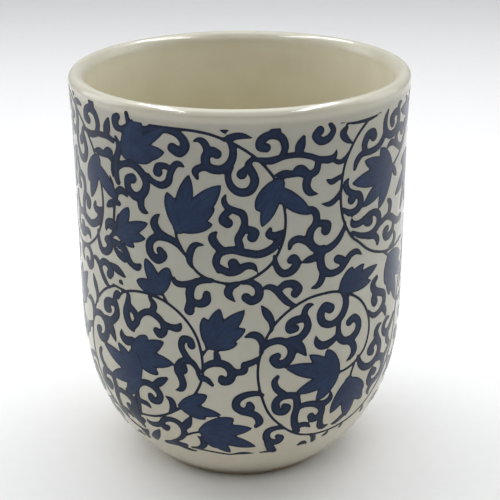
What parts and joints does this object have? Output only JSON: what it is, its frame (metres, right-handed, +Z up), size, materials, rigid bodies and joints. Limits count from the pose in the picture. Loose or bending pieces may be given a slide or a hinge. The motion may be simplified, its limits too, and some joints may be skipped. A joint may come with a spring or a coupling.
{
  "type": "teacup",
  "caption": "Tall handleless glazed teacup with a straight round wall, full belly, rounded lip, low foot ring and a dark blue scrolling-vine print.",
  "frame": {"origin": "centre of the plane that the foot ring stands on", "axes": "+Z up along the cup's axis, from the foot to the lip; -Y is the front, and the nearer lap of the print's two sheets is about 42 degrees round from it towards -X"},
  "size_m": [0.0762, 0.0762, 0.0924],
  "materials": {
    "bare_clay": "matte, unglazed",
    "outside_glaze": "glossy cream",
    "inside_glaze": "glossy cream",
    "print_ink": "glossy dark blue"
  },
  "bodies": {
    "root": {"clay_body": "bare_clay", "outer_glaze": "outside_glaze", "inner_glaze": "inside_glaze", "base_glaze": "outside_glaze", "front_transfer": "print_ink", "back_transfer": "print_ink"}
  },
  "joints": []
}
